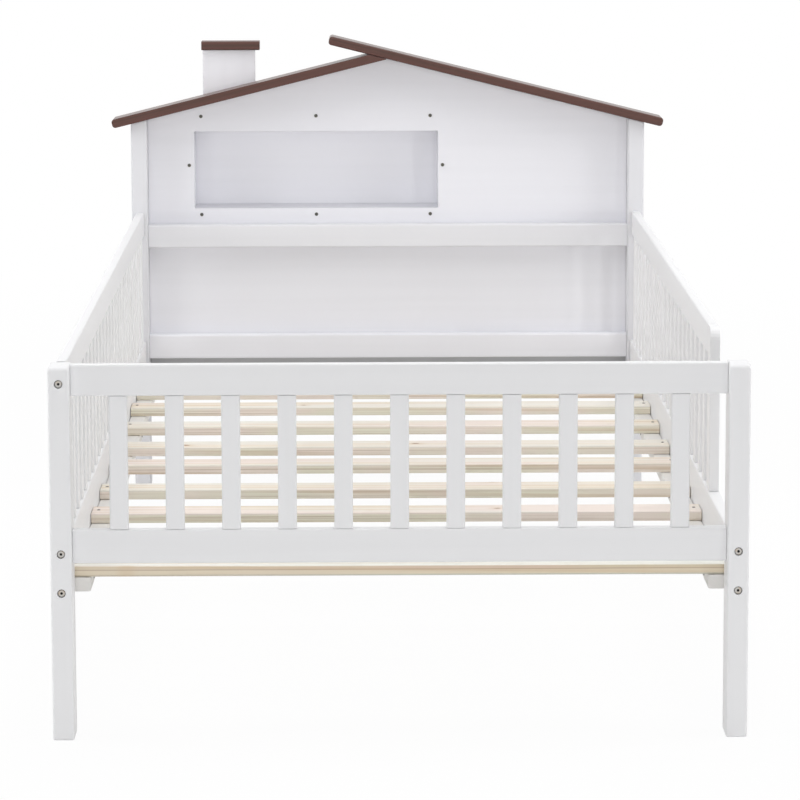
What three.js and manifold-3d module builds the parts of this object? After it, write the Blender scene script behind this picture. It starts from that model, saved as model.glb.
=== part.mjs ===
// A child's single bed with a house-shaped headboard: picket footboard, picket guards along
// both sides, a slatted base, a gable with a shelf niche, a roof of two boards and a chimney.
// Millimetres, +Z up. The foot end faces -Y, and the origin is on the floor under the middle.

import * as THREE from "three";
import { mergeVertices } from "three/addons/utils/BufferGeometryUtils.js";
import Module from "manifold-3d";

const wasm = await Module();
wasm.setup();

// Bed frame
const bedWidth = 975; // over the outer faces of the posts
const postSpacing = 2030; // from the front of the foot posts to the front of the head posts
const postWidth = 30;
const postDepth = 54;
const footPostHeight = 530;
const footPostTopRound = 8;
const postCornerRound = 3;
const postEdgeEase = 2.5;

// Joints
const jointGap = 0.3; // hairline between two faces that meet
const tenonThickness = 8;
const tenonLength = 12;
const tenonShoulder = 4; // step from the edge of a board to its tenon
const cutOverrun = 2; // how far a cutting tool runs past the face it enters

// Board stock
const railThickness = 18;
const boardEdgeRound = 2.5;
const boardEndEase = 1;
const cutEdgeRound = 0.5; // edges left nearly sharp, where boards meet

// Footboard
const footTopRailHeight = 44;
const footBottomRailHeight = 48;
const footBottomRailLift = 249;

// Pickets, alike in the footboard and the guards
const picketWidth = 26;
const picketThickness = 15;
const picketGapLimit = 53; // widest gap allowed between two pickets

// Side rails and slatted base
const sideRailHeight = 90;
const sideRailLift = 193;
const cleatWidth = 28.2;
const cleatHeight = 20;
const cleatInset = 9.2; // from the lower edge of the side rail up to the cleat
const slatWidth = 62;
const slatThickness = 15;
const slatEndGap = 1; // from the end of a slat to the side rail
// Places of the slats along the free length, from the foot end, as the photographed bed has them
const slatPlaceShares = [0.0015, 0.108, 0.215, 0.3203, 0.4394, 0.5314, 0.6434, 0.755, 0.853, 0.972];

// Guards
const guardThickness = 15;
const guardRailHeight = 45;
const entryWidth = 324; // free way in between the right foot post and the right guard
const stileWidth = 45;
const stileCornerRound = 19;

// Headboard rails and panels
const headRailDepth = 30;
const headUpperRailDrop = 68; // from the top of the foot posts down to the lower edge of the rail
const headUpperRailHeight = 43;
const headLowerRailLift = 248.5;
const headLowerRailHeight = 45;
const panelThickness = 12;
const panelLift = 224;

// Niche behind the gable panel
const nicheInset = 88; // from the left head post to the opening
const nicheWidth = 466;
const nicheOpeningHeight = 147.5;
const nicheRailGap = 29; // from the upper rail to the opening
const nicheLintel = 26; // strip of panel that hangs in front of the top board
const nicheDepth = 80;
const nicheBoardThickness = 15;
const nicheBackThickness = 5;
const nicheCornerRound = 2;

// Roof
const roofPitch = THREE.MathUtils.degToRad(14);
const eaveMargin = 19; // from the top of the opening to the roof, at the outside of the posts
const roofThickness = 16.5;
const roofDepth = 70;
const roofReach = 524; // from the middle of the bed to the end of the eaves
const ridgeOverrun = 116; // how far the right board runs on past the ridge, along its slope
const roofEndRound = 6;

// Chimney
const chimneyInset = 135.5; // from the outside of the left head post
const chimneyWidth = 100;
const chimneyThickness = 15;
const chimneyRise = 72; // above the roof, at the middle of the chimney
const capWidth = 111;
const capThickness = 17;
const capDepth = 37;
const capFrontOverhang = 12;
const capSideOverhang = 2; // on the outer side

// Connector bolts, each with its barrel nut
const boltDiameter = 6;
const boltHeadDiameter = 11;
const boltHeadHeight = 5;
const boltHeadSink = 1.5; // from the face of the post down to the head
const boltHeadRound = 1;
const boltClearance = 0.5; // all round a bolt, its head and its nut
const socketAcross = 5;
const socketDepth = 3;
const nutDiameter = 10;
const nutSetback = 28; // from the end of a rail to the axis of the nut
const nutInset = 0.5; // from the inner face of the rail to the nut
const nutWall = 3; // wood left between the nut and the outer face
const boltTip = 8; // how far the bolt runs past the axis of the nut
const railBoltSpacing = 55.5;
const guardBoltLift = 20.5; // from the lower edge of the guard rail to its bolt

// Smoothness
const arcSteps = 1;
const fullArcSteps = 3; // for the rounds that show from afar
const easeSteps = 2;
const boltSides = 12;
const hexSides = 6;
const weldDistance = 0.001;
const quarterTurn = Math.PI / 2;

// Finishes
const whitePaint = new THREE.MeshStandardMaterial({ color: 0xdededf, roughness: 0.45, flatShading: true });
const barePine = new THREE.MeshStandardMaterial({ color: 0xe8d5b0, roughness: 0.7, flatShading: true });
const brownStain = new THREE.MeshStandardMaterial({ color: 0x614c47, roughness: 0.5, flatShading: true });
const zincSteel = new THREE.MeshStandardMaterial({
  color: 0xb8b3a8,
  roughness: 0.35,
  metalness: 1,
  flatShading: true,
});

// Levels and planes that several pieces share
const postMiddleX = (bedWidth - postWidth) / 2;
const innerHalfWidth = bedWidth / 2 - postWidth;
const footBack = postDepth;
const headBack = postSpacing + postDepth;
const railCentreY = postDepth / 2;
const sideRailInnerX = postMiddleX - railThickness / 2;
const sideRailTop = sideRailLift + sideRailHeight;
const cleatLift = sideRailLift + cleatInset;
const slatLift = cleatLift + cleatHeight + jointGap;
const guardRailLift = footPostHeight - guardRailHeight;
const guardFront = footBack + entryWidth;
const headUpperRailLift = footPostHeight - headUpperRailDrop;
const upperRailTop = headUpperRailLift + headUpperRailHeight;
const openingLeft = -innerHalfWidth + nicheInset;
const openingRight = openingLeft + nicheWidth;
const openingBottom = upperRailTop + nicheRailGap;
const openingTop = openingBottom + nicheOpeningHeight;
const ridgeHeight = openingTop + eaveMargin + (bedWidth / 2) * Math.tan(roofPitch);
const panelJoint = headUpperRailLift + headUpperRailHeight / 2;
const panelFront = headBack - panelThickness;
const nicheFront = headBack + jointGap;
const nicheBack = nicheFront + nicheDepth;
const nicheTopLift = openingTop + nicheLintel;
const chimneyFoot = nicheTopLift + nicheBoardThickness + jointGap;
const overallDepth = nicheBack + jointGap + nicheBackThickness;
const boltSeat = boltHeadSink + boltHeadHeight;
const railBoltLevels = [-1, 1].map((way) => sideRailLift + (sideRailHeight + way * railBoltSpacing) / 2);
const guardBoltLevel = guardRailLift + guardBoltLift;

// Spans and boxes: a span is [from, to], and a block has one for each axis
const span = (centre, size) => [centre - size / 2, centre + size / 2];

const ordered = (a, b) => [Math.min(a, b), Math.max(a, b)];

function grown(block, by) {
  const sides = Object.entries(block).map(([axis, [from, to]]) => [axis, [from - by, to + by]]);
  return Object.fromEntries(sides);
}

function box({ x, y, z }) {
  const geometry = new THREE.BoxGeometry(x[1] - x[0], y[1] - y[0], z[1] - z[0]);
  return geometry.translate((x[0] + x[1]) / 2, (y[0] + y[1]) / 2, (z[0] + z[1]) / 2);
}

// A closed outline whose corners, each [across, up, radius], are rounded by tangent arcs
function roundedOutline(corners) {
  const outline = new THREE.Shape();
  corners.forEach(([across, up, radius], i) => {
    const corner = new THREE.Vector2(across, up);
    const towards = (step) => {
      const [nextAcross, nextUp] = corners[(i + step + corners.length) % corners.length];
      return new THREE.Vector2(nextAcross, nextUp).sub(corner).normalize();
    };
    const back = towards(-1);
    const ahead = towards(1);
    const half = back.angleTo(ahead) / 2;
    const inward = back.clone().add(ahead).normalize();
    const centre = inward.multiplyScalar(radius / Math.sin(half)).add(corner);
    const tangent = (way) => way.multiplyScalar(radius / Math.tan(half)).add(corner).sub(centre).angle();
    const hollow = back.cross(ahead) > 0;
    outline.absarc(centre.x, centre.y, radius, tangent(back), tangent(ahead), hollow);
  });
  return outline;
}

function roundedRectangle([left, right], [low, high], radius) {
  return roundedOutline([
    [left, low, radius],
    [right, low, radius],
    [right, high, radius],
    [left, high, radius],
  ]);
}

// An outline drawn in Y and Z, X and Z or X and Y, swept along the axis that is left
function swept(axis, outline, [from, to], ease = 0, steps = arcSteps) {
  const geometry = new THREE.ExtrudeGeometry(outline, {
    depth: to - from - 2 * ease,
    curveSegments: steps,
    bevelEnabled: ease > 0,
    bevelThickness: ease,
    bevelSize: ease,
    bevelOffset: -ease,
    bevelSegments: easeSteps,
  });
  geometry.translate(0, 0, ease);
  if (axis === "x") return geometry.rotateX(quarterTurn).rotateZ(quarterTurn).translate(from, 0, 0);
  if (axis === "y") return geometry.rotateX(quarterTurn).translate(0, to, 0);
  return geometry.translate(0, 0, from);
}

// A straight board with rounded long edges, its grain along one axis
function board(grain, block, round = boardEdgeRound, ease = 0) {
  const [across, up] = ["x", "y", "z"].filter((axis) => axis !== grain);
  return swept(grain, roundedRectangle(block[across], block[up], round), block[grain], ease);
}

// A round bar along X or Y through a point
function rod(axis, diameter, [from, to], [x, y, z]) {
  const geometry = new THREE.CylinderGeometry(diameter / 2, diameter / 2, to - from, boltSides);
  geometry.translate(0, (from + to) / 2, 0);
  if (axis === "x") return geometry.rotateZ(-quarterTurn).translate(0, y, z);
  return geometry.translate(x, 0, z);
}

// Joins and cuts of closed geometries
function toSolid(geometry) {
  const bare = geometry.clone();
  bare.deleteAttribute("normal");
  bare.deleteAttribute("uv");
  const welded = mergeVertices(bare, weldDistance);
  const vertProperties = welded.attributes.position.array;
  const triVerts = new Uint32Array(welded.index.array);
  return new wasm.Manifold(new wasm.Mesh({ numProp: 3, vertProperties, triVerts }));
}

function toGeometry(solid) {
  const { vertProperties, triVerts } = solid.getMesh();
  const geometry = new THREE.BufferGeometry();
  geometry.setAttribute("position", new THREE.BufferAttribute(vertProperties, 3));
  return geometry.setIndex(new THREE.BufferAttribute(triVerts, 1));
}

function joined(...geometries) {
  return toGeometry(geometries.map(toSolid).reduce((whole, piece) => whole.add(piece)));
}

function cut(geometry, ...tools) {
  return toGeometry(tools.map(toSolid).reduce((rest, tool) => rest.subtract(tool), toSolid(geometry)));
}

// Centres of the pickets that fill a run with equal gaps, none over the limit
function picketCentres([from, to]) {
  const run = to - from;
  const count = Math.ceil((run - picketGapLimit) / (picketWidth + picketGapLimit));
  const gap = (run - count * picketWidth) / (count + 1);
  const pitch = picketWidth + gap;
  return Array.from({ length: count }, (_, i) => from + gap + picketWidth / 2 + i * pitch);
}

// Tenons, each a block that the mortise for it repeats with the joint gap all round
function picketTenon(way, centre, cross, [low, high]) {
  const other = way === "x" ? "y" : "x";
  return {
    [way]: span(centre, picketWidth - 2 * tenonShoulder),
    [other]: span(cross, tenonThickness),
    z: [low - tenonLength, high + tenonLength],
  };
}

function crossRailTenon(centreY, [low, high]) {
  const reach = innerHalfWidth + tenonLength;
  return {
    x: [-reach, reach],
    y: span(centreY, tenonThickness),
    z: [low + tenonShoulder, high - tenonShoulder],
  };
}

const mortise = (tenon) => box(grown(tenon, jointGap));

const pieces = new THREE.Group();

function addPiece(name, geometry, material) {
  const mesh = new THREE.Mesh(geometry, material);
  mesh.name = name;
  pieces.add(mesh);
}

const sides = [
  { name: "left", side: -1 },
  { name: "right", side: 1 },
];

// Cross rails of the footboard and the headboard, each between two posts
const footTopRail = { y: span(railCentreY, railThickness), z: [footPostHeight - footTopRailHeight, footPostHeight] };
const footBottomRail = {
  y: span(railCentreY, railThickness),
  z: [footBottomRailLift, footBottomRailLift + footBottomRailHeight],
};
const headRailY = [panelFront - jointGap - headRailDepth, panelFront - jointGap];
const headUpperRail = { y: headRailY, z: [headUpperRailLift, upperRailTop] };
const headLowerRail = { y: headRailY, z: [headLowerRailLift, headLowerRailLift + headLowerRailHeight] };

const railTenon = ({ y, z }) => crossRailTenon((y[0] + y[1]) / 2, z);

function crossRail(rail) {
  const half = innerHalfWidth - jointGap;
  return joined(board("x", { x: [-half, half], ...rail }), box(railTenon(rail)));
}

// Bolts run along Y: each has a level, the side it is on and the end it enters from
const boltX = (side) => side * postMiddleX;
const fromEnd = (end, a, b) => (end === "foot" ? ordered(a, b) : ordered(headBack - a, headBack - b));

function boltLevels(end, side) {
  const hasGuardBolt = end === "head" || side < 0;
  return hasGuardBolt ? [...railBoltLevels, guardBoltLevel] : railBoltLevels;
}

// The nut lies across the rail, reached from its inner face
function nutSpan(side, thickness, extra) {
  const inner = postMiddleX - thickness / 2;
  return ordered(side * (inner + nutInset - extra), side * (inner + thickness - nutWall + extra));
}

function boltWithNut(end, side, level, thickness) {
  const headRadius = boltHeadDiameter / 2;
  const shankRadius = boltDiameter / 2;
  const tip = postDepth + nutSetback + boltTip;
  const profile = [
    [0, boltHeadSink],
    [headRadius - boltHeadRound, boltHeadSink],
    [headRadius, boltHeadSink + boltHeadRound],
    [headRadius, boltSeat],
    [shankRadius, boltSeat],
    [shankRadius, tip],
    [0, tip],
  ].map(([radius, along]) => new THREE.Vector2(radius, along));
  const turned = new THREE.LatheGeometry(profile, boltSides);
  const socketRadius = socketAcross / Math.sqrt(3);
  const socket = new THREE.CylinderGeometry(socketRadius, socketRadius, socketDepth + cutOverrun, hexSides);
  socket.translate(0, boltHeadSink + (socketDepth - cutOverrun) / 2, 0);
  const bolt = cut(turned, socket);
  if (end === "head") bolt.rotateX(Math.PI).translate(0, headBack, 0);
  bolt.translate(boltX(side), 0, level);
  const nutY = fromEnd(end, postDepth + nutSetback, postDepth + nutSetback)[0];
  const nut = rod("x", nutDiameter, nutSpan(side, thickness, 0), [0, nutY, level]);
  return joined(bolt, nut);
}

function postBoltHoles(end, side) {
  return boltLevels(end, side).flatMap((level) => {
    const head = fromEnd(end, -cutOverrun, boltSeat + jointGap);
    const shank = fromEnd(end, -cutOverrun, postDepth + cutOverrun);
    const axis = [boltX(side), 0, level];
    return [
      rod("y", boltHeadDiameter + 2 * boltClearance, head, axis),
      rod("y", boltDiameter + 2 * boltClearance, shank, axis),
    ];
  });
}

function railBoltHoles(end, side, level, thickness) {
  const depth = postDepth + nutSetback + boltTip + boltClearance;
  const shank = fromEnd(end, postDepth - cutOverrun, depth);
  const nutY = fromEnd(end, postDepth + nutSetback, postDepth + nutSetback)[0];
  const inner = postMiddleX - thickness / 2;
  const nutHole = ordered(side * (inner - cutOverrun), side * (inner + thickness - nutWall + jointGap));
  return [
    rod("y", boltDiameter + 2 * boltClearance, shank, [boltX(side), 0, level]),
    rod("x", nutDiameter + 2 * boltClearance, nutHole, [0, nutY, level]),
  ];
}

// Posts
function addPosts() {
  const footOutline = roundedOutline([
    [0, 0, postCornerRound],
    [postDepth, 0, postCornerRound],
    [postDepth, footPostHeight, footPostTopRound],
    [0, footPostHeight, footPostTopRound],
  ]);
  const footMortises = [footTopRail, footBottomRail].map((rail) => mortise(railTenon(rail)));
  const headMortises = [headUpperRail, headLowerRail].map((rail) => mortise(railTenon(rail)));
  for (const { name, side } of sides) {
    const width = span(boltX(side), postWidth);
    const footPost = swept("x", footOutline, width, postEdgeEase, fullArcSteps);
    addPiece(`foot_post_${name}`, cut(footPost, ...footMortises, ...postBoltHoles("foot", side)), whitePaint);
    const inner = side * innerHalfWidth;
    const outer = (side * bedWidth) / 2;
    const corners = [
      [inner, 0, postCornerRound],
      [outer, 0, postCornerRound],
      [outer, roofUnderside(outer), postCornerRound],
      [inner, roofUnderside(inner), postCornerRound],
    ];
    const headOutline = roundedOutline(side > 0 ? corners : corners.reverse());
    const headPost = swept("y", headOutline, [postSpacing, headBack], postEdgeEase);
    addPiece(`head_post_${name}`, cut(headPost, ...headMortises, ...postBoltHoles("head", side)), whitePaint);
  }
}

// Footboard
function addFootboard() {
  const centres = picketCentres([-innerHalfWidth, innerHalfWidth]);
  const run = [footBottomRail.z[1], footTopRail.z[0]];
  const tenons = centres.map((x) => picketTenon("x", x, railCentreY, run));
  const mortises = tenons.map(mortise);
  addPiece("footboard_top_rail", cut(crossRail(footTopRail), ...mortises), whitePaint);
  addPiece("footboard_bottom_rail", cut(crossRail(footBottomRail), ...mortises), whitePaint);
  centres.forEach((x, i) => {
    const picket = board("z", {
      x: span(x, picketWidth),
      y: span(railCentreY, picketThickness),
      z: [run[0] + jointGap, run[1] - jointGap],
    });
    const number = String(i + 1).padStart(2, "0");
    addPiece(`footboard_picket_${number}`, joined(picket, box(tenons[i])), whitePaint);
  });
}

// Side rails, guards and the stile at the entry
const guardRuns = {
  left: [footBack, postSpacing],
  right: [guardFront + stileWidth, postSpacing],
};

function guardTenons(name, side) {
  const foot = [sideRailTop, guardRailLift];
  return picketCentres(guardRuns[name]).map((y) => picketTenon("y", y, boltX(side), foot));
}

const stileBlock = {
  x: span(postMiddleX, guardThickness),
  y: [guardFront, guardFront + stileWidth],
  z: [sideRailTop + jointGap, footPostHeight],
};
const stileFootTenon = {
  x: span(postMiddleX, tenonThickness),
  y: [guardFront + 2 * tenonShoulder, guardFront + stileWidth - 2 * tenonShoulder],
  z: [sideRailTop - tenonLength, sideRailTop + tenonLength],
};
const stileRailTenon = {
  x: span(postMiddleX, tenonThickness),
  y: [guardFront + stileWidth - tenonLength, guardFront + stileWidth + tenonLength],
  z: [guardRailLift + 2 * tenonShoulder, footPostHeight - 2 * tenonShoulder],
};

function guardComb(name, side) {
  const [from, to] = guardRuns[name];
  const x = span(boltX(side), guardThickness);
  const z = [guardRailLift, footPostHeight];
  const rail = board("y", { x, y: [from + jointGap, to - jointGap], z });
  const pickets = picketCentres([from, to]).map((y) =>
    board("z", {
      x: span(boltX(side), picketThickness - 2 * jointGap),
      y: span(y, picketWidth),
      z: [sideRailTop + jointGap, guardRailLift + tenonLength],
    }),
  );
  return joined(rail, ...pickets, ...guardTenons(name, side).map(box));
}

function addSides() {
  for (const { name, side } of sides) {
    const rail = board("y", {
      x: span(boltX(side), railThickness),
      y: [footBack + jointGap, postSpacing - jointGap],
      z: [sideRailLift, sideRailTop],
    });
    const ends = side < 0 ? ["foot", "head"] : ["head"];
    const railHoles = ["foot", "head"].flatMap((end) =>
      railBoltLevels.flatMap((level) => railBoltHoles(end, side, level, railThickness)),
    );
    const stileMortise = side > 0 ? [mortise(stileFootTenon)] : [];
    const mortises = guardTenons(name, side).map(mortise);
    addPiece(`side_rail_${name}`, cut(rail, ...railHoles, ...mortises, ...stileMortise), whitePaint);
    const guardHoles = ends.flatMap((end) => railBoltHoles(end, side, guardBoltLevel, guardThickness));
    const comb = side > 0 ? joined(guardComb(name, side), box(stileRailTenon)) : guardComb(name, side);
    addPiece(`guard_${name}`, cut(comb, ...guardHoles), whitePaint);
  }
  const { x, y, z } = stileBlock;
  const stileOutline = roundedOutline([
    [y[0], z[0], cutEdgeRound + boardEndEase],
    [y[1], z[0], cutEdgeRound + boardEndEase],
    [y[1], z[1], cutEdgeRound + boardEndEase],
    [y[0], z[1], stileCornerRound],
  ]);
  const stile = joined(swept("x", stileOutline, x, boardEndEase, fullArcSteps), box(stileFootTenon));
  addPiece("guard_right_end_stile", cut(stile, mortise(stileRailTenon)), whitePaint);
}

// Slatted base
function addBase() {
  for (const { name, side } of sides) {
    const outer = sideRailInnerX - jointGap;
    const cleat = board("y", {
      x: ordered(side * outer, side * (outer - cleatWidth)),
      y: [footBack + jointGap, postSpacing - jointGap],
      z: [cleatLift, cleatLift + cleatHeight],
    });
    addPiece(`slat_cleat_${name}`, cleat, whitePaint);
  }
  const half = sideRailInnerX - slatEndGap;
  const run = postSpacing - footBack - slatWidth;
  slatPlaceShares.forEach((share, i) => {
    const front = footBack + share * run;
    const slat = board("x", {
      x: [-half, half],
      y: [front, front + slatWidth],
      z: [slatLift, slatLift + slatThickness],
    });
    addPiece(`slat_${String(i + 1).padStart(2, "0")}`, slat, barePine);
  });
}

// Roof: a point by its side, its distance down the slope from the ridge and its height above
// the underside
function roofPoint(side, along, up) {
  const x = side * (along * Math.cos(roofPitch) + up * Math.sin(roofPitch));
  const z = ridgeHeight - along * Math.sin(roofPitch) + up * Math.cos(roofPitch);
  return [x, z];
}

function roofUnderside(x) {
  return ridgeHeight - Math.abs(x) * Math.tan(roofPitch) - jointGap;
}

function addRoof() {
  const eave = (roofReach - roofThickness * Math.sin(roofPitch)) / Math.cos(roofPitch);
  const depth = [headBack - roofDepth, headBack];
  const right = roofOutline(1, [
    [-ridgeOverrun, 0, roofEndRound],
    [eave, 0, roofEndRound],
    [eave, roofThickness, roofEndRound],
    [-ridgeOverrun, roofThickness, roofEndRound],
  ]);
  addPiece("roof_board_right", swept("y", right, depth, postEdgeEase, fullArcSteps), brownStain);
  const mitre = (up) => up / Math.tan(2 * roofPitch) + jointGap / Math.sin(2 * roofPitch);
  const left = roofOutline(-1, [
    [mitre(0), 0, cutEdgeRound],
    [eave, 0, roofEndRound],
    [eave, roofThickness, roofEndRound],
    [mitre(roofThickness), roofThickness, cutEdgeRound],
  ]);
  addPiece("roof_board_left", swept("y", left, depth, 0, fullArcSteps), brownStain);
}

function roofOutline(side, corners) {
  const placed = corners.map(([along, up, radius]) => [...roofPoint(side, along, up), radius]);
  return roundedOutline(side > 0 ? placed : placed.reverse());
}

// Gable panel with the opening of the niche, and the lower panel
function addPanels() {
  const half = innerHalfWidth - jointGap;
  const gable = roundedOutline([
    [-half, panelJoint + jointGap, cutEdgeRound],
    [half, panelJoint + jointGap, cutEdgeRound],
    [half, roofUnderside(half), cutEdgeRound],
    [0, roofUnderside(0), cutEdgeRound],
    [-half, roofUnderside(half), cutEdgeRound],
  ]);
  gable.holes.push(roundedRectangle([openingLeft, openingRight], [openingBottom, openingTop], nicheCornerRound));
  addPiece("gable_panel", swept("y", gable, [panelFront, headBack]), whitePaint);
  const lower = { x: [-half, half], y: [panelFront, headBack], z: [panelLift, panelJoint] };
  addPiece("headboard_lower_panel", board("x", lower, cutEdgeRound), whitePaint);
  addPiece("headboard_upper_rail", crossRail(headUpperRail), whitePaint);
  addPiece("headboard_lower_rail", crossRail(headLowerRail), whitePaint);
}

// Niche box behind the gable panel, its top and bottom boards between the upright ones
function addNiche() {
  const x = [openingLeft - nicheBoardThickness, openingRight + nicheBoardThickness];
  const y = [nicheFront, nicheBack];
  const z = [openingBottom - nicheBoardThickness, nicheTopLift + nicheBoardThickness];
  const between = [openingLeft + jointGap, openingRight - jointGap];
  const bottom = { x: between, y, z: [z[0], openingBottom] };
  const top = { x: between, y, z: [nicheTopLift, z[1]] };
  addPiece("niche_bottom_board", board("x", bottom, cutEdgeRound), whitePaint);
  addPiece("niche_top_board", board("x", top, cutEdgeRound), whitePaint);
  addPiece("niche_left_board", board("z", { x: [x[0], openingLeft], y, z }, cutEdgeRound), whitePaint);
  addPiece("niche_right_board", board("z", { x: [openingRight, x[1]], y, z }, cutEdgeRound), whitePaint);
  const back = { x, y: [nicheBack + jointGap, overallDepth], z };
  addPiece("niche_back", board("x", back, cutEdgeRound), whitePaint);
}

// Chimney
function addChimney() {
  const left = -bedWidth / 2 + chimneyInset;
  const middle = left + chimneyWidth / 2;
  const roofTop = ridgeHeight + middle * Math.tan(roofPitch) + roofThickness / Math.cos(roofPitch);
  const top = roofTop + chimneyRise;
  const front = headBack + jointGap;
  const stack = {
    x: [left, left + chimneyWidth],
    y: [front, front + chimneyThickness],
    z: [chimneyFoot, top],
  };
  addPiece("chimney_board", board("y", stack, boardEdgeRound, boardEndEase), whitePaint);
  const cap = {
    x: [left - capSideOverhang, left - capSideOverhang + capWidth],
    y: [front - capFrontOverhang, front - capFrontOverhang + capDepth],
    z: [top + jointGap, top + jointGap + capThickness],
  };
  addPiece("chimney_cap", board("x", cap, boardEdgeRound, boardEndEase), brownStain);
}

// Bolts
function addBolts() {
  for (const end of ["foot", "head"]) {
    for (const { name, side } of sides) {
      const places = ["lower", "middle", "upper"];
      boltLevels(end, side).forEach((level, i) => {
        const thickness = level === guardBoltLevel ? guardThickness : railThickness;
        addPiece(`${end}_bolt_${name}_${places[i]}`, boltWithNut(end, side, level, thickness), zincSteel);
      });
    }
  }
}

addPosts();
addFootboard();
addSides();
addBase();
addPanels();
addNiche();
addRoof();
addChimney();
addBolts();
pieces.position.y = -overallDepth / 2;

export default pieces;
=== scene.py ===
import math

import bpy
from mathutils import Matrix, Vector


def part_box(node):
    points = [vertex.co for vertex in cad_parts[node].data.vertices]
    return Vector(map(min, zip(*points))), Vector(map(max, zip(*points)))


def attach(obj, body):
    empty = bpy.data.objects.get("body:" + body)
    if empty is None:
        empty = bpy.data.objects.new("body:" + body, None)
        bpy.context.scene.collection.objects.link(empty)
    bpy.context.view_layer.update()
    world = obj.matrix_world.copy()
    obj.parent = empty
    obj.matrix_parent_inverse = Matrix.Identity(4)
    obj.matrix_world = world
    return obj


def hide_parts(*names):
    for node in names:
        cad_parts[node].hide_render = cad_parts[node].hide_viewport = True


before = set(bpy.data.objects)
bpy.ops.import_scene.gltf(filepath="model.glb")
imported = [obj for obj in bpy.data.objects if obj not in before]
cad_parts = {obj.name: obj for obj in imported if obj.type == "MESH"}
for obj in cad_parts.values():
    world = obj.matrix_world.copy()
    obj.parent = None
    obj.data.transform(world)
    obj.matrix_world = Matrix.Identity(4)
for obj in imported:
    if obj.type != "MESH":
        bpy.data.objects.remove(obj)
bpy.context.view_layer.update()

bpy.ops.object.select_all(action="DESELECT")

# Lengths are in metres and angles in radians

# Camera, at the photographed viewpoint
CAMERA_PLACE = (-0.0559, -6.3514, 1.2961)
CAMERA_YAW = 0.0107  # to the right
CAMERA_PITCH = 0.1534  # downwards
CAMERA_ROLL = -0.0025
CAMERA_LENS = 173.09  # in millimetres, as the width of the sensor
SENSOR_WIDTH = 36.0
CAMERA_NEAR = 0.05
CAMERA_FAR = 200.0

# Colours of the paint, as linear light
FRAME_PAINT = (0.79, 0.79, 0.8)
HEADBOARD_PAINT = (0.775, 0.775, 0.815)
# The same white paint, made lighter or darker piece by piece as painted light and shade: lighter on
# the lower headboard, the chimney and in the niche, darker on the upper rail, the head posts and
# the cleats
LOWER_HEADBOARD_PAINT_LIT = (0.815, 0.815, 0.85)
UPPER_RAIL_PAINT_SHADED = (0.75, 0.75, 0.775)
HEAD_POST_PAINT_SHADED = (0.66, 0.66, 0.685)
NICHE_PAINT_LIT = (0.855, 0.855, 0.895)
CLEAT_PAINT_SHADED = (0.72, 0.705, 0.68)
PAINT_GRAIN_SHARE = 0.955  # brightness where the grain shows through
EDGE_HIGHLIGHT_SHARE = 1.03  # painted highlight: brightness along the edges, where they catch the light
# Painted shade: the dark grey of the slot behind the lower rail of the headboard
SLOT_SHADE_COLOUR = (0.42, 0.42, 0.425)
BROWN_COLOUR = (0.1, 0.042, 0.034)
BROWN_GRAIN_COLOUR = (0.055, 0.032, 0.024)

# Colours of the pine
PINE_COLOUR = (0.775, 0.745, 0.68)
PINE_WARM_COLOUR = (0.78, 0.695, 0.57)
PINE_PINK_COLOUR = (0.8, 0.71, 0.65)
PINE_LINE_COLOUR = (0.6, 0.45, 0.3)
PINE_STREAK_COLOUR = (0.4, 0.27, 0.17)
KNOT_COLOUR = (0.26, 0.13, 0.06)
PINE_EDGE_COLOURS = ((0.83, 0.8, 0.65), (0.89, 0.785, 0.7))  # olive and pink patches
FRONT_SLAT_EDGE_COLOURS = ((0.61, 0.52, 0.365), (0.63, 0.48, 0.365))
FRONT_SLAT_TOP_COLOUR = (0.8, 0.81, 0.76)
FRONT_SLAT_LOW_COLOUR = (0.68, 0.585, 0.43)  # under the dark line along its edge
# Painted shade on the lower arris of the front slat
FRONT_SLAT_ARRIS_SHADE = (0.5, 0.51, 0.44)
STREAK_SHARE = 0.45  # strength of the dark streaks on the sawn edges
FRONT_SLAT_STREAK_SHARE = 0.3

# Colours of the steel
STEEL_COLOUR = (0.54, 0.53, 0.51)
STEEL_WARM_COLOUR = (0.55, 0.46, 0.37)
SCREW_COLOUR = (0.16, 0.162, 0.158)
SCREW_WARM_COLOUR = (0.19, 0.17, 0.13)
# Painted shade, near black, in the recesses of screws and bolts
RECESS_SHADE_COLOUR = (0.02, 0.02, 0.019)

# Colours of the studio
FLOOR_COLOUR = (0.8, 0.8, 0.8)
WHITE = (1.0, 1.0, 1.0)

# Patterns of the finishes, in waves per metre: along the grain and across it
BRUSH_MARKS = (5.0, 420.0)
PAINT_GRAIN = (1.4, 60.0)
BROWN_GRAIN = (3.0, 260.0)

# More patterns, in waves per metre: along x, y and z
PAINT_CLOUDS = (3.0, 3.0, 3.0)
PAINT_SPECKS = (900.0, 900.0, 900.0)
BROWN_CLOUDS = (9.0, 9.0, 30.0)
KNOT_CELLS = (26.0, 40.0, 12.0)
PINE_FIGURE = (1.1, 22.0, 30.0)
PINE_FIBRES = (2.2, 210.0, 260.0)
PINE_BANDS = (0.5, 30.0, 34.0)
PINE_BLUSH = (2.6, 9.0, 40.0)
PINE_PATCHES = (5.0, 9.0, 9.0)
PINE_STREAKS = (1.3, 40.0, 520.0)
EDGE_LINE_WAVES = (2.4, 0.0, 0.0)
PLATING_CLOUDS = (160.0, 160.0, 160.0)
TURNING_MARKS = (2400.0, 300.0, 2400.0)

# Knots: the share of the cells without one, and where in a cell its core and its halo fade
KNOT_RARITY = 0.955
KNOT_CORE = (0.12, 0.22)
KNOT_HALO = (0.15, 0.55)

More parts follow.
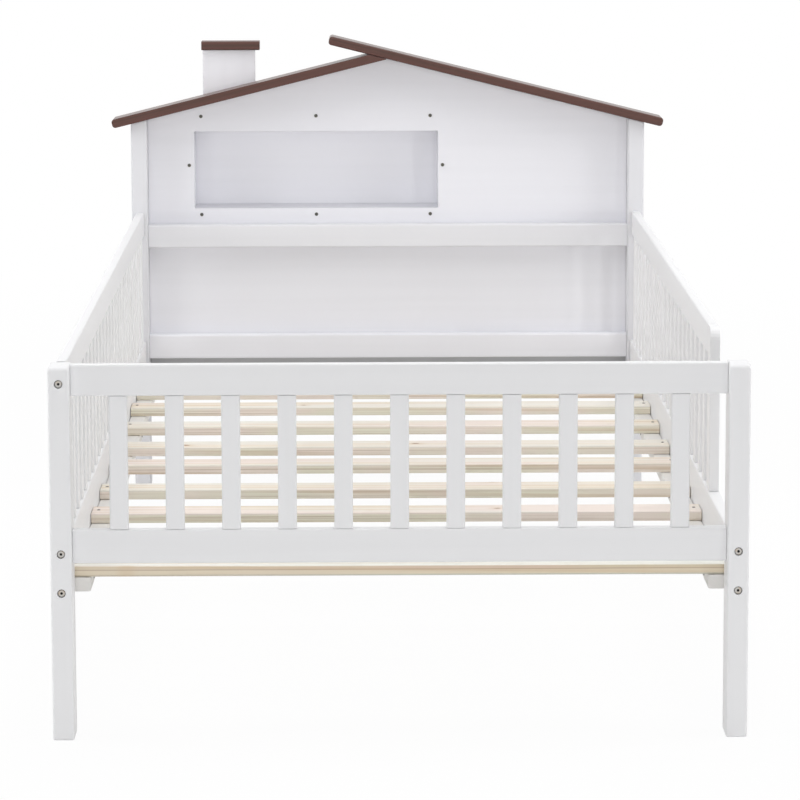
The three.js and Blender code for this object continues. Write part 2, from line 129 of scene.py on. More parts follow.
# Gloss and relief of the finishes
PAINT_ROUGHNESS = 0.36
PAINT_REFRACTION = 1.48
PAINT_RELIEF = 0.00012
BROWN_ROUGHNESS = 0.24
BROWN_REFRACTION = 1.42
BROWN_RELIEF = 0.0001
PINE_ROUGHNESS = 0.6
PINE_REFRACTION = 1.45
PINE_RELIEF = 0.00018
STEEL_ROUGHNESS = 0.26
STEEL_RELIEF = 0.00003

# Soft edges of the finishes, and the painted shade in their recesses
PAINT_EDGE_ROUND = 0.0012
PINE_EDGE_ROUND = 0.0008
STEEL_EDGE_ROUND = 0.0003
EDGE_SAMPLES = 4
EDGE_TURNED = 0.7  # cosine of the soft turn on an edge
EDGE_FLAT = 0.99  # and on a flat
RECESS_REACH = 0.004
RECESS_SAMPLES = 8
RECESS_DEEP = 0.3  # open share of a deep recess
RECESS_OPEN = 0.8

# Lower panel of the headboard: below this height, behind the lower rail, it is painted dark grey as
# painted shade
SLOT_SHADE_BELOW = 0.25
SLOT_SHADE_FADE = 0.001

# Roof
ROOF_PITCH = math.radians(14)

# Connector bolts, as the solids have them
BOLT_HEAD_RADIUS = 0.0051
BOLT_HEAD_HEIGHT = 0.005
BOLT_HEAD_SINK = 0.0015
BOLT_HEAD_ROUND = 0.001
BOLT_HEAD_SEGMENTS = 4
BOLT_HEAD_SIDES = 48
BOLT_SHANK_RADIUS = 0.003
BOLT_SHANK_SIDES = 24
BOLT_LENGTH = 0.09
SOCKET_RADIUS = 0.0021
SOCKET_DEPTH = 0.0035
SOCKET_SIDES = 6
NUT_RADIUS = 0.005
NUT_SIDES = 40
NUT_ROUND = 0.0005
NUT_SEGMENTS = 2
NUT_SLOT_WIDTH = 0.0014
NUT_SLOT_DEPTH = 0.0012
NUT_SETBACK = 0.082  # from the face of the post to the axis of the nut
NUT_INSET = 0.0005
NUT_WALL = 0.003

# Wood screws
SCREW_RADIUS = 0.0036
SCREW_HEAD_HEIGHT = 0.0026
SCREW_SIDES = 32
SCREW_PROUD = 0.0009
SCREW_ROUND = 0.0005
SCREW_SEGMENTS = 3
SCREW_CROSS_LENGTH = 0.0044
SCREW_CROSS_WIDTH = 0.0012
SCREW_CROSS_DEPTH = 0.0008
NICHE_SCREWS = (
    (-0.356, 0.7105), (-0.1365, 0.711), (0.0815, 0.711), (-0.379, 0.617),
    (0.105, 0.6165), (-0.356, 0.5225), (-0.1365, 0.5225), (0.0815, 0.5225),
)
NICHE_SCREW_TURN = 0.7  # from one screw to the next
SLAT_SCREW_TURN = 31.0  # for each metre along the bed
SLAT_SCREW_SHARE = 0.78  # size beside the niche screws
SLAT_SCREW_INSET = 0.0095  # from the end of the slat
CLEAT_SCREW_COUNT = 7
CLEAT_SCREW_INSET = 0.06

# Slats
SLAT_ROUND = 0.0018
SLAT_SEGMENTS = 4
SLAT_TOP = 0.2375

# Edges of the slats, by their depth below the top
SLAT_EDGE = (0.0014, 0.0032)  # where the planed top passes into the sawn edge
FRONT_SLAT_EDGE = (0.0004, 0.0014)
EDGE_LINE_DEPTH = 0.0056  # this and the next ones on the front slat alone
EDGE_LINE_HALF = 0.0013
EDGE_LINE_SWAY = 0.004
# Depths over which painted shade greys the front slat's lower arris
ARRIS = (0.0118, 0.0136)
FRONT_SLAT_TINT = 0.9  # strength of the colours on its edge

# Modelling
SMOOTH_ANGLE = math.radians(35)  # edges that turn less are shaded smooth
FACING = 0.9  # a face looks one way when this much of its normal does

# Lamps: place, size and power, and the point that all of them face
LAMP_TARGET = (0.0, 0.3, 0.35)
LAMPS = {
    "front_lamp_far": {"place": (0.0, -30.0, 1.0), "size": 10.0, "power": 1180.0},
    "front_lamp_far_right": {"place": (14.0, -27.0, 1.0), "size": 2.5, "power": 819.0},
    "front_lamp_far_left": {"place": (-9.5, -27.0, 1.0), "size": 2.5, "power": 491.0},
    "front_lamp_near": {"place": (0.0, -14.0, 0.6), "size": 5.0, "power": 315.0},
    "side_lamp_right": {"place": (4.5, -0.5, 2.4), "size": 2.5, "power": 86.0},
    "side_lamp_left": {"place": (-4.5, -0.5, 2.4), "size": 2.5, "power": 84.0},
    "side_lamp_right_low": {"place": (4.5, -1.5, 0.9), "size": 2.5, "power": 28.0},
    "side_lamp_left_low": {"place": (-4.5, -1.5, 0.9), "size": 2.5, "power": 27.0},
    "back_lamp": {"place": (0.0, 12.0, 2.5), "size": 5.0, "power": 340.0},
    "upper_lamp": {"place": (0.0, 0.5, 6.5), "size": 5.0, "power": 210.0},
    "upper_lamp_front": {"place": (0.0, -2.5, 6.5), "size": 3.0, "power": 66.0},
}
WORLD_LIGHT = 0.225

# Floor: how much of the bed's shadow it keeps, and from where to where that fades
FLOOR_HALF = 30.0
FLOOR_SHADE = 0.05
FLOOR_NEAR = 0.9
FLOOR_FAR = 2.4
FLOOR_STRETCH = (1.0, 0.5, 1.0)  # the shadow is about twice as long as it is wide


class Link:
    """One output of a shader node, which takes part in plain arithmetic."""

    def __init__(self, finish, node, output=0):
        self.finish = finish
        self.node = node
        self.socket = node.outputs[output] if node.outputs else None

    def __getitem__(self, output):
        return Link(self.finish, self.node, output)

    def __add__(self, other):
        return self.finish.math("ADD", self, other)

    def __radd__(self, other):
        return self.finish.math("ADD", other, self)

    def __sub__(self, other):
        return self.finish.math("SUBTRACT", self, other)

    def __rsub__(self, other):
        return self.finish.math("SUBTRACT", other, self)

    def __mul__(self, other):
        return self.finish.math("MULTIPLY", self, other)

    def __rmul__(self, other):
        return self.finish.math("MULTIPLY", other, self)

    def __gt__(self, other):
        return self.finish.math("GREATER_THAN", self, other)


class Finish:
    """A material or the world, and the shader nodes that make it."""

    def __init__(self, owner):
        owner.use_nodes = True
        self.owner = owner
        self.tree = owner.node_tree
        self.tree.nodes.clear()

    def node(self, kind, settings=None, sockets=None):
        """Adds a node, sets it up, and fills or links its sockets."""
        made = self.tree.nodes.new(kind)
        for name, value in (settings or {}).items():
            setattr(made, name, value)
        for name, value in (sockets or {}).items():
            if isinstance(value, Link):
                self.tree.links.new(value.socket, made.inputs[name])
            elif hasattr(value, "__len__") and len(made.inputs[name].default_value) == 4:
                made.inputs[name].default_value = (*value, 1.0)
            else:
                made.inputs[name].default_value = value
        return Link(self, made)

    def math(self, operation, *values):
        return self.node("ShaderNodeMath", {"operation": operation}, dict(enumerate(values)))

    def mixed(self, amount, first, second):
        """The first colour, and the second one by the amount."""
        # A Mix node's sockets for colours, which share their names with those for numbers
        sockets = {0: amount, 6: first, 7: second}
        return self.node("ShaderNodeMix", {"data_type": "RGBA"}, sockets)[2]

    def ramped(self, value, low, high, start=0.0, end=1.0):
        """A soft step from start to end, as the value goes from low to high."""
        ends = {"Value": value, "From Min": low, "From Max": high, "To Min": start, "To Max": end}
        return self.node("ShaderNodeMapRange", {"interpolation_type": "SMOOTHSTEP"}, ends)

    def place(self, scale=(1.0, 1.0, 1.0), turn=0.0):
        """The place on the object, turned about Y and then stretched."""
        spot = self.node("ShaderNodeTexCoord")["Object"]
        turned = self.node("ShaderNodeMapping", {}, {"Vector": spot, "Rotation": (0.0, turn, 0.0)})
        return self.node("ShaderNodeMapping", {}, {"Vector": turned, "Scale": scale})

    def height(self):
        """The height above the floor."""
        return self.node("ShaderNodeSeparateXYZ", {}, {"Vector": self.place()})["Z"]

    def noise(self, scale, detail, roughness, distortion=0.0, turn=0.0):
        """Soft noise from 0 to 1, with the scale in waves per metre."""
        sockets = {"Vector": self.place(scale, turn), "Scale": 1.0, "Detail": detail}
        sockets.update({"Roughness": roughness, "Distortion": distortion})
        return self.node("ShaderNodeTexNoise", {}, sockets)

    def rounded(self, width):
        """The direction a face points in, turned softly round the edges of the piece."""
        return self.node("ShaderNodeBevel", {"samples": EDGE_SAMPLES}, {"Radius": width})

    def edges(self, soft):
        """1 along the edges of a piece and 0 on its flats."""
        flat = self.node("ShaderNodeNewGeometry")["Normal"]
        both = self.node("ShaderNodeVectorMath", {"operation": "DOT_PRODUCT"}, {0: soft, 1: flat})
        return self.ramped(both["Value"], EDGE_TURNED, EDGE_FLAT, 1.0, 0.0)

    def recesses(self, distance):
        """Where shade is painted: 1 in the recesses of a piece and 0 in the open."""
        settings = {"samples": RECESS_SAMPLES, "only_local": True}
        open_share = self.node("ShaderNodeAmbientOcclusion", settings, {"Distance": distance})["AO"]
        return self.ramped(open_share, RECESS_DEEP, RECESS_OPEN, 1.0, 0.0)

    def bumped(self, height, distance, soft):
        sockets = {"Height": height, "Distance": distance, "Normal": soft}
        return self.node("ShaderNodeBump", {}, sockets)

    def surface(self, sockets):
        """Ends a material in one shader with these sockets, and returns the material."""
        shader = self.node("ShaderNodeBsdfPrincipled", {}, sockets)
        self.node("ShaderNodeOutputMaterial", {}, {"Surface": shader})
        return self.owner


def scaled(colour, share):
    return tuple(share * part for part in colour)


def stretched(grain, along, across):
    """Scales for a pattern that runs along one axis."""
    return tuple(along if axis == grain else across for axis in "xyz")


def painted_wood(name, grain, paint, shade_below=None):
    """Paint on planed wood: brush lines, a trace of grain and a painted highlight along the edges.

    Below the given height it is painted dark grey: painted shade in the slot behind the lower rail.
    """
    finish = Finish(bpy.data.materials.new(name))
    brush = finish.noise(stretched(grain, *BRUSH_MARKS), 3.0, 0.6)
    grain_lines = finish.noise(stretched(grain, *PAINT_GRAIN), 2.0, 0.5)
    clouds = finish.noise(PAINT_CLOUDS, 2.0, 0.5)
    specks = finish.noise(PAINT_SPECKS, 1.0, 0.5)
    soft = finish.rounded(PAINT_EDGE_ROUND)
    edge = finish.edges(soft)
    shade = finish.ramped(grain_lines, 0.38, 0.72, 0.0, 0.55) + 0.4 * clouds
    grained = finish.mixed(shade * 0.6, paint, scaled(paint, PAINT_GRAIN_SHARE))
    # Painted highlight: the edges are made brighter, as rounded edges catching the light
    colour = finish.mixed(edge * (0.35 + 0.5 * clouds), grained, scaled(paint, EDGE_HIGHLIGHT_SHARE))
    # Painted shade: dark grey below the given height, where the slot behind the lower rail lies in
    # shade
    if shade_below is not None:
        slot_shade = finish.ramped(finish.height(), shade_below - SLOT_SHADE_FADE, shade_below, 1.0, 0.0)
        colour = finish.mixed(slot_shade, colour, SLOT_SHADE_COLOUR)
    relief = brush * 0.5 + grain_lines * 0.8 + specks * 0.25
    return finish.surface({
        "Base Color": colour,
        "Roughness": PAINT_ROUGHNESS + 0.1 * brush + 0.08 * clouds - 0.06 * edge,
        "Normal": finish.bumped(relief, PAINT_RELIEF, soft),
        "IOR": PAINT_REFRACTION,
    })


def brown_paint(name, turn=0.0):
    """Brown paint on wood: satin, with the grain showing through as darker lines."""
    finish = Finish(bpy.data.materials.new(name))
    lines = finish.noise(stretched("x", *BROWN_GRAIN), 3.0, 0.6, turn=turn)
    clouds = finish.noise(BROWN_CLOUDS, 2.0, 0.5, turn=turn)
    soft = finish.rounded(PAINT_EDGE_ROUND)
    shade = finish.ramped(lines, 0.42, 0.7) * 0.6 + clouds * 0.35
    colour = finish.mixed(shade, BROWN_COLOUR, BROWN_GRAIN_COLOUR)
    return finish.surface({
        "Base Color": finish.mixed(0.5 * finish.edges(soft), colour, BROWN_GRAIN_COLOUR),
        "Roughness": BROWN_ROUGHNESS + 0.1 * lines,
        "Normal": finish.bumped(lines + 0.6 * clouds, BROWN_RELIEF, soft),
        "IOR": BROWN_REFRACTION,
    })


def plated_steel(name, plain, warm):
    """Plated steel: fine turning marks, a faint warm cast in patches and painted shade in the
    recesses.
    """
    finish = Finish(bpy.data.materials.new(name))
    clouds = finish.noise(PLATING_CLOUDS, 2.0, 0.5)
    marks = finish.noise(TURNING_MARKS, 2.0, 0.6)
    plating = finish.mixed(finish.ramped(clouds, 0.35, 0.75), plain, warm)
    # Painted shade: the recesses are darkened towards near black
    return finish.surface({
        "Base Color": finish.mixed(finish.recesses(RECESS_REACH), plating, RECESS_SHADE_COLOUR),
        "Metallic": 1.0,
        "Roughness": STEEL_ROUGHNESS + 0.16 * marks,
        "Normal": finish.bumped(marks, STEEL_RELIEF, finish.rounded(STEEL_EDGE_ROUND)),
    })


def knots(finish):
    """The dark cores of a few knots, and the halos round them."""
    cells = finish.node(
        "ShaderNodeTexVoronoi",
        {"voronoi_dimensions": "3D"},
        {"Vector": finish.place(KNOT_CELLS), "Scale": 1.0, "Randomness": 1.0},
    )
    drawn = finish.node("ShaderNodeSeparateColor", {}, {"Color": cells["Color"]})["Red"]
    chosen = drawn > KNOT_RARITY
    core = finish.ramped(cells["Distance"], *KNOT_CORE, 1.0, 0.0) * chosen
    halo = finish.ramped(cells["Distance"], *KNOT_HALO, 1.0, 0.0) * chosen
    return core, halo


def growth_lines(finish, figure):
    """Thin growth lines, which come and go with the broad figure of the wood."""
    bands = finish.node(
        "ShaderNodeTexWave",
        {"wave_type": "BANDS", "bands_direction": "DIAGONAL"},
        {"Vector": finish.place(PINE_BANDS), "Scale": 1.0, "Distortion": 5.0,
         "Detail": 2.0, "Detail Scale": 0.8, "Detail Roughness": 0.55},
    )
    return finish.ramped(bands["Fac"], 0.62, 0.98) * finish.ramped(figure, 0.35, 0.7)


def front_edge(finish, depth, tone):
    """The tone of the front slat's edge: a dark line along it, darker wood under that line, and
    painted shade on the lower arris.
    """
    sway = finish.noise(EDGE_LINE_WAVES, 2.0, 0.5)
    swayed = depth + (sway - 0.5) * EDGE_LINE_SWAY
    above = finish.ramped(swayed, EDGE_LINE_DEPTH - EDGE_LINE_HALF, EDGE_LINE_DEPTH)
    below = finish.ramped(swayed, EDGE_LINE_DEPTH, EDGE_LINE_DEPTH + EDGE_LINE_HALF)
    arris = finish.ramped(depth, *ARRIS)
    tone = finish.mixed(below * FRONT_SLAT_TINT, tone, FRONT_SLAT_LOW_COLOUR)
    tone = finish.mixed((above - below) * FRONT_SLAT_TINT, tone, PINE_STREAK_COLOUR)
    # Painted shade: the lower arris turns grey
    return finish.mixed(arris * FRONT_SLAT_TINT, tone, FRONT_SLAT_ARRIS_SHADE)


def bare_pine(name, edge_colours, streak_share, in_front=False):
    """Planed pine: pale wood, thin darker growth lines, a few knots and darker sawn edges.

    The slat in front shows a dark line along its edge, and painted shade, grey, on its lower arris.
    """
    finish = Finish(bpy.data.materials.new(name))
    core, halo = knots(finish)
    figure = finish.noise(PINE_FIGURE, 2.0, 0.55, 0.4)
    fibres = finish.noise(PINE_FIBRES, 3.0, 0.6, 0.3)
    lines = growth_lines(finish, figure)
    ticks = finish.ramped(fibres, 0.58, 0.74)
    blush = finish.noise(PINE_BLUSH, 1.0, 0.5)
    patches = finish.noise(PINE_PATCHES, 2.0, 0.55)
    streaks = finish.noise(PINE_STREAKS, 3.0, 0.6)

    tone = finish.mixed(finish.ramped(figure, 0.3, 0.75), PINE_COLOUR, PINE_WARM_COLOUR)
    tone = finish.mixed(finish.ramped(blush, 0.5, 0.68), tone, PINE_PINK_COLOUR)
    edge_tone = finish.mixed(finish.ramped(patches, 0.4, 0.6), *edge_colours)
    depth = SLAT_TOP - finish.height()
    if in_front:
        pale = finish.ramped(patches, 0.2, 0.7, 0.5, 0.9)
        tone = finish.mixed(pale, tone, FRONT_SLAT_TOP_COLOUR)
        edge_tone = front_edge(finish, depth, edge_tone)

    sawn = finish.ramped(depth, *(FRONT_SLAT_EDGE if in_front else SLAT_EDGE))
    streaked = sawn * finish.ramped(streaks, 0.52, 0.64, 0.0, streak_share)
    board = finish.mixed(sawn * (0.95 - 0.25 * blush), tone, edge_tone)
    board = finish.mixed(streaked, board, PINE_STREAK_COLOUR)
    grain = finish.mixed(lines * 0.6 + ticks * 0.28 + halo * 0.35, board, PINE_LINE_COLOUR)
    relief = lines * 0.7 + fibres * 0.5 - core * 0.8
    return finish.surface({
        "Base Color": finish.mixed(core * 0.85, grain, KNOT_COLOUR),
        "Roughness": PINE_ROUGHNESS + 0.12 * fibres - 0.1 * core,
        "Normal": finish.bumped(relief, PINE_RELIEF, finish.rounded(PINE_EDGE_ROUND)),
        "IOR": PINE_REFRACTION,
    })


frame_paints = {g: painted_wood(f"white_paint_{g}", g, FRAME_PAINT) for g in "xyz"}
headboard_paints = {g: painted_wood(f"headboard_paint_{g}", g, HEADBOARD_PAINT) for g in "xz"}
bolt_steel = plated_steel("bolt_steel", STEEL_COLOUR, STEEL_WARM_COLOUR)
screw_steel = plated_steel("screw_steel", SCREW_COLOUR, SCREW_WARM_COLOUR)

# The finish of each piece, by the start of its name: the first start that fits counts
FINISHES = {
    "foot_post": frame_paints["z"],
    "footboard_picket": frame_paints["z"],
    "footboard": frame_paints["x"],
    "side_rail": frame_paints["y"],
    "guard_right_end_stile": frame_paints["z"],
    "guard": frame_paints["y"],
    # Darker and lighter copies of the white paint: painted shade on the head posts, upper rail and
    # cleats, painted light on the lower headboard, chimney and niche back
    "head_post": painted_wood("head_post_paint", "z", HEAD_POST_PAINT_SHADED),
    "headboard_lower_panel": painted_wood(
        "lower_panel_painted_light", "x", LOWER_HEADBOARD_PAINT_LIT, SLOT_SHADE_BELOW
    ),
    "headboard_lower_rail": painted_wood("lower_rail_paint_lit", "x", LOWER_HEADBOARD_PAINT_LIT),
    "headboard_upper_rail": painted_wood("upper_rail_paint_shaded", "x", UPPER_RAIL_PAINT_SHADED),
    "gable_panel": headboard_paints["x"],
    "niche_left": headboard_paints["z"],
    "niche_right": headboard_paints["z"],
    "niche_back": painted_wood("niche_back_paint_lit", "x", NICHE_PAINT_LIT),
    "niche": headboard_paints["x"],
    "chimney_board": painted_wood("chimney_paint_lit", "z", LOWER_HEADBOARD_PAINT_LIT),
    "chimney_cap": brown_paint("brown_paint_cap"),
    "roof_board_left": brown_paint("brown_paint_left", ROOF_PITCH),
    "roof_board_right": brown_paint("brown_paint_right", -ROOF_PITCH),
    "slat_cleat": painted_wood("cleat_paint_shaded", "y", CLEAT_PAINT_SHADED),
    "slat_01": bare_pine(
        "front_slat_pine", FRONT_SLAT_EDGE_COLOURS, FRONT_SLAT_STREAK_SHARE, in_front=True
    ),
    "slat": bare_pine("bare_pine_wood", PINE_EDGE_COLOURS, STREAK_SHARE),
    "foot_bolt": bolt_steel,
    "head_bolt": bolt_steel,
}


def finish_of(node):
    return next(finish for start, finish in FINISHES.items() if node.startswith(start))


for node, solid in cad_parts.items():
    for holder in solid.material_slots:
        holder.material = finish_of(node)

slats = [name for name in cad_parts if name.startswith("slat") and "cleat" not in name]


def pick(piece):
    """Selects this piece alone and makes it the active one."""
    bpy.ops.object.select_all(action="DESELECT")
    piece.select_set(True)
    bpy.context.view_layer.objects.active = piece


def apply_place(piece):
    """Puts the piece's place into its mesh."""
    pick(piece)
    bpy.ops.object.transform_apply(location=True, rotation=True, scale=True)


def cylinder(radius, length, middle, sides, axis="y"):
    turns = {"x": (0.0, math.pi / 2, 0.0), "y": (math.pi / 2, 0.0, 0.0)}
    bpy.ops.mesh.primitive_cylinder_add(
        vertices=sides, radius=radius, depth=length, location=middle, rotation=turns[axis]
    )
    piece = bpy.context.object
    apply_place(piece)
    return piece


def block(low, high):
    low, high = Vector(low), Vector(high)
    bpy.ops.mesh.primitive_cube_add(size=1.0, location=(low + high) / 2)
    piece = bpy.context.object
    piece.scale = high - low
    apply_place(piece)
    return piece


def front_faces(mesh):
    """The faces that look towards -Y."""
    return [face for face in mesh.polygons if face.normal.y < -FACING]


def end_faces(mesh):
    """The faces that look along x."""
    return [face for face in mesh.polygons if abs(face.normal.x) > FACING]


def long_edges(mesh):
    """The edges that run along x."""
    x = [corner.co.x for corner in mesh.vertices]
    ends = [(edge, *edge.vertices) for edge in mesh.edges]
    return [edge for edge, one, two in ends if abs(x[one] - x[two]) > SLAT_ROUND]


def soften(piece, kind, chosen, width, segments):
    """Bevels the edges of the mesh that are chosen, or the outlines of the chosen faces."""
    pick(piece)
    bpy.ops.object.mode_set(mode="EDIT")
    bpy.ops.mesh.select_mode(type=kind)
    bpy.ops.mesh.select_all(action="DESELECT")
    bpy.ops.object.mode_set(mode="OBJECT")
    for part in chosen(piece.data):
        part.select = True
    bpy.ops.object.mode_set(mode="EDIT")
    bpy.ops.mesh.bevel(offset=width, segments=segments, affect="EDGES")
    bpy.ops.object.mode_set(mode="OBJECT")
    bpy.ops.object.select_all(action="DESELECT")


def combine(piece, tool, operation):
    """Joins a tool to the piece, or cuts the piece with it, and removes the tool."""
    pick(piece)
    added = piece.modifiers.new("shape", "BOOLEAN")
    added.object = tool
    added.operation = operation
    added.solver = "EXACT"
    bpy.ops.object.modifier_apply(modifier=added.name)
    bpy.data.objects.remove(tool)


def smooth(piece):
    pick(piece)
    bpy.ops.object.shade_smooth_by_angle(angle=SMOOTH_ANGLE)


def dress(piece, name, material):
    """Gives a piece its name and finish, and has it ride on the bed."""
    piece.name = name
    piece.data.name = name
    piece.data.materials.clear()
    piece.data.materials.append(material)
    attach(piece, "root")


def copied(model, placing):
    """A copy of a model with its own mesh, placed in the mesh."""
    piece = bpy.data.objects.new(model.name, model.data.copy())
    bpy.context.scene.collection.objects.link(piece)
    piece.data.transform(placing)
    return piece


def bolt_model(rail_half):
    """A connector bolt with its barrel nut, for a rail of this half thickness.

    It lies along +Y from the face of the post, and the inner side of the rail is towards +X.
    """
    head_middle = BOLT_HEAD_SINK + BOLT_HEAD_HEIGHT / 2
    piece = cylinder(BOLT_HEAD_RADIUS, BOLT_HEAD_HEIGHT, (0.0, head_middle, 0.0), BOLT_HEAD_SIDES)
    soften(piece, "FACE", front_faces, BOLT_HEAD_ROUND, BOLT_HEAD_SEGMENTS)

    socket_middle = BOLT_HEAD_SINK + SOCKET_DEPTH / 2 - BOLT_HEAD_ROUND
    socket_length = SOCKET_DEPTH + 2 * BOLT_HEAD_ROUND
    socket = cylinder(SOCKET_RADIUS, socket_length, (0.0, socket_middle, 0.0), SOCKET_SIDES)
    combine(piece, socket, "DIFFERENCE")

    shank_from = BOLT_HEAD_SINK + BOLT_HEAD_HEIGHT - BOLT_HEAD_ROUND
    shank_middle = (0.0, (shank_from + BOLT_LENGTH) / 2, 0.0)
    shank_length = BOLT_LENGTH - shank_from
    shank = cylinder(BOLT_SHANK_RADIUS, shank_length, shank_middle, BOLT_SHANK_SIDES)
    combine(piece, shank, "UNION")

    inner = rail_half - NUT_INSET
    outer = -rail_half + NUT_WALL
    nut_middle = ((inner + outer) / 2, NUT_SETBACK, 0.0)
    nut = cylinder(NUT_RADIUS, inner - outer, nut_middle, NUT_SIDES, axis="x")
    soften(nut, "FACE", end_faces, NUT_ROUND, NUT_SEGMENTS)
    slot_low = (inner - NUT_SLOT_DEPTH, NUT_SETBACK - NUT_SLOT_WIDTH / 2, -2 * NUT_RADIUS)
    slot_high = (inner + NUT_SLOT_DEPTH, NUT_SETBACK + NUT_SLOT_WIDTH / 2, 2 * NUT_RADIUS)
    combine(nut, block(slot_low, slot_high), "DIFFERENCE")
    combine(piece, nut, "UNION")
    smooth(piece)
    return piece


def add_bolts():
    """A bolt with its nut for each bolt of the solids, turned the way its post needs."""
    models = {}
    for carrier in ("side_rail_left", "guard_left"):
        low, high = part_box(carrier)
        models[carrier] = bolt_model((high.x - low.x) / 2)
    for node in [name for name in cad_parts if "bolt" in name]:
        end, _, side, level = node.split("_")
        post_low, post_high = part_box(f"{end}_post_{side}")
        low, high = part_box(node)
        turn = Matrix.Rotation(math.pi, 4, "Y") if side == "right" else Matrix.Identity(4)
        face = low.y - BOLT_HEAD_SINK
        if end == "head":
            turn = Matrix.Rotation(math.pi, 4, "X") @ turn
            face = high.y + BOLT_HEAD_SINK
        middle = ((post_low.x + post_high.x) / 2, face, (low.z + high.z) / 2)
        model = models["guard_left" if level == "upper" else "side_rail_left"]
        piece = copied(model, Matrix.Translation(middle) @ turn)
        dress(piece, f"{node}_turned", bolt_steel)
        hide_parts(node)
    for model in models.values():
        bpy.data.objects.remove(model)


def screw_model():
    """A countersunk wood screw with a cross recess, its head towards -Y."""
    bpy.ops.mesh.primitive_cone_add(
        vertices=SCREW_SIDES, radius1=SCREW_RADIUS / 2, radius2=SCREW_RADIUS,
        depth=SCREW_HEAD_HEIGHT, rotation=(math.pi / 2, 0.0, 0.0),
        location=(0.0, SCREW_HEAD_HEIGHT / 2 - SCREW_PROUD, 0.0),
    )
    piece = bpy.context.object
    apply_place(piece)
    soften(piece, "FACE", front_faces, SCREW_ROUND, SCREW_SEGMENTS)
    arm = (SCREW_CROSS_LENGTH, SCREW_CROSS_WIDTH)
    for length, width in (arm, arm[::-1]):
        low = (-length / 2, -2 * SCREW_PROUD, -width / 2)
        high = (length / 2, SCREW_CROSS_DEPTH - SCREW_PROUD, width / 2)
        combine(piece, block(low, high), "DIFFERENCE")
    smooth(piece)
    return piece


def niche_screws():
    """The names and places of the screws that hold the niche box."""
    panel_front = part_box("gable_panel")[0].y
    for i, (x, z) in enumerate(NICHE_SCREWS):
        turn = Matrix.Rotation(NICHE_SCREW_TURN * i, 4, "Y")
        yield f"niche_screw_{i + 1:02d}", Matrix.Translation((x, panel_front, z)) @ turn


def slat_screws():
    """The names and places of the screws at the ends of the slats."""
    face_up = Matrix.Rotation(-math.pi / 2, 4, "X")
    size = Matrix.Scale(SLAT_SCREW_SHARE, 4)
    for node in slats:
        low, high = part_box(node)
        middle = (low.y + high.y) / 2
        for side, x in (("left", low.x + SLAT_SCREW_INSET), ("right", high.x - SLAT_SCREW_INSET)):
            turn = Matrix.Rotation(SLAT_SCREW_TURN * middle + x, 4, "Y")
            placing = Matrix.Translation((x, middle, high.z)) @ face_up @ turn @ size
            yield f"{node}_screw_{side}", placing


def cleat_screws():
    """The names and places of the screws that hold the cleats to the side rails."""
    for side, way in (("left", 1), ("right", -1)):
        low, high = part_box(f"slat_cleat_{side}")
        inner = high.x if way > 0 else low.x
        run = high.y - low.y - 2 * CLEAT_SCREW_INSET
        turn = Matrix.Rotation(way * math.pi / 2, 4, "Z")
        for i in range(CLEAT_SCREW_COUNT):
            y = low.y + CLEAT_SCREW_INSET + run * i / (CLEAT_SCREW_COUNT - 1)
            placing = Matrix.Translation((inner, y, (low.z + high.z) / 2)) @ turn
            yield f"cleat_screw_{side}_{i + 1:02d}", placing


def add_screws():
    model = screw_model()
    for name, placing in (*niche_screws(), *slat_screws(), *cleat_screws()):
        dress(copied(model, placing), name, screw_steel)
    bpy.data.objects.remove(model)


def add_slats():
    """Slats with rounded edges, as bought boards have."""
    for node in slats:
        piece = block(*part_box(node))
        soften(piece, "EDGE", long_edges, SLAT_ROUND, SLAT_SEGMENTS)
        smooth(piece)
        dress(piece, f"{node}_board", finish_of(node))
        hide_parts(node)


add_bolts()
add_screws()
add_slats()


def aim(place, yaw, pitch, roll):
    """Puts a camera at its place and turns it from +Y."""
    forward, side = math.cos(yaw), math.sin(yaw)
    ahead = Vector((side * math.cos(pitch), forward * math.cos(pitch), -math.sin(pitch)))
    level = Vector((forward, -side, 0.0))
    upright = level.cross(ahead)
    right = math.cos(roll) * level + math.sin(roll) * upright
    up = math.cos(roll) * upright - math.sin(roll) * level
    turned = Matrix((right, up, -ahead)).transposed().to_4x4()
    return Matrix.Translation(place) @ turned


camera = bpy.data.objects.new("camera", bpy.data.cameras.new("camera"))
bpy.context.scene.collection.objects.link(camera)
camera.data.sensor_width = SENSOR_WIDTH
camera.data.lens = CAMERA_LENS
camera.data.clip_start = CAMERA_NEAR
camera.data.clip_end = CAMERA_FAR
camera.matrix_world = aim(CAMERA_PLACE, CAMERA_YAW, CAMERA_PITCH, CAMERA_ROLL)
bpy.context.scene.camera = camera


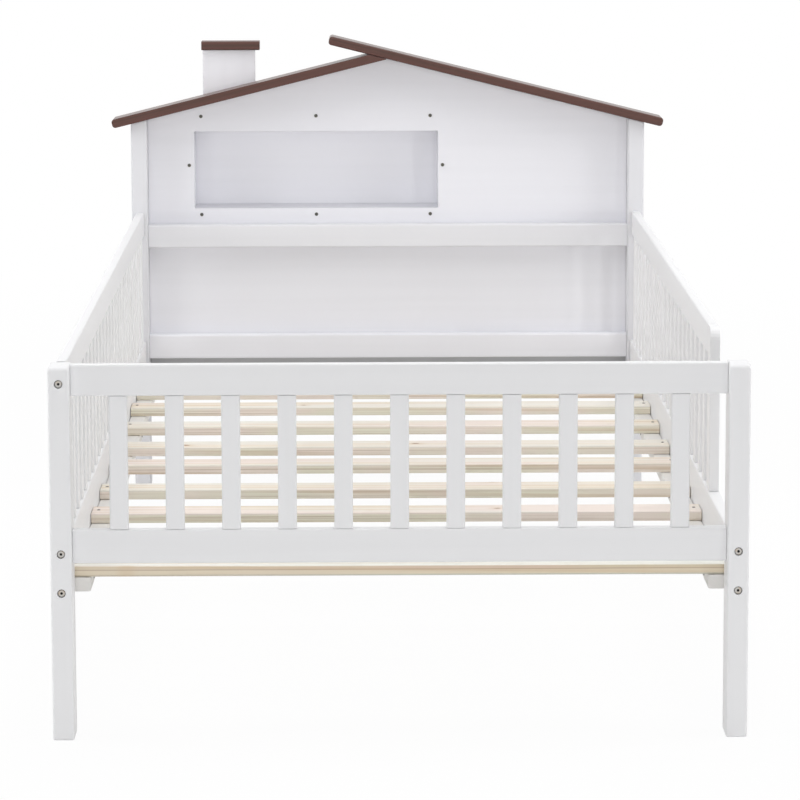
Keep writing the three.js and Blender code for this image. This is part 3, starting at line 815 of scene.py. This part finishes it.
def add_lamp(name, place, size, power):
    """A square lamp. Those in front of the bed and behind it make no highlight on it."""
    lamp = bpy.data.objects.new(name, bpy.data.lights.new(name, "AREA"))
    bpy.context.scene.collection.objects.link(lamp)
    lamp.data.shape = "SQUARE"
    lamp.data.size = size
    lamp.data.energy = power
    lamp.location = place
    lamp.rotation_euler = (Vector(LAMP_TARGET) - Vector(place)).to_track_quat("-Z", "Y").to_euler()
    lamp.visible_camera = False
    lamp.visible_glossy = not name.startswith(("front", "back"))


for name, lamp in LAMPS.items():
    add_lamp(name, **lamp)


def seen_directly(finish):
    """1 where the camera, a reflection or a look through glass sees this, and 0 for light."""
    path = finish.node("ShaderNodeLightPath")
    seen = finish.math("MAXIMUM", path["Is Camera Ray"], path["Is Glossy Ray"])
    return finish.math("MAXIMUM", seen, path["Is Transmission Ray"])


bpy.context.scene.world = bpy.data.worlds.new("studio")
studio = Finish(bpy.context.scene.world)
glow = studio.node("ShaderNodeBackground", {}, {"Color": WHITE, "Strength": WORLD_LIGHT})
backdrop = studio.node("ShaderNodeBackground", {}, {"Color": WHITE, "Strength": 1.0})
both = studio.node("ShaderNodeMixShader", {}, {0: seen_directly(studio), 1: glow, 2: backdrop})
studio.node("ShaderNodeOutputWorld", {}, {"Surface": both})


def floor_finish():
    """White where it is seen, with a trace of the bed's soft shadow near the bed."""
    finish = Finish(bpy.data.materials.new("white_floor"))
    matt = finish.node("ShaderNodeBsdfDiffuse", {}, {"Color": FLOOR_COLOUR})
    bright = finish.node("ShaderNodeEmission", {}, {"Color": WHITE, "Strength": 1.0})
    spot = finish.place(FLOOR_STRETCH)
    distance = finish.node("ShaderNodeVectorMath", {"operation": "LENGTH"}, {0: spot})["Value"]
    shaded = finish.ramped(distance, FLOOR_NEAR, FLOOR_FAR, FLOOR_SHADE, 0.0)
    amount = seen_directly(finish) * (1.0 - shaded)
    mix = finish.node("ShaderNodeMixShader", {}, {0: amount, 1: matt, 2: bright})
    finish.node("ShaderNodeOutputMaterial", {}, {"Surface": mix})
    return finish.owner


bpy.ops.mesh.primitive_plane_add(size=2 * FLOOR_HALF)
floor = bpy.context.object
floor.name = "studio_floor"
floor.data.materials.append(floor_finish())

bpy.context.scene.view_settings.view_transform = "Standard"
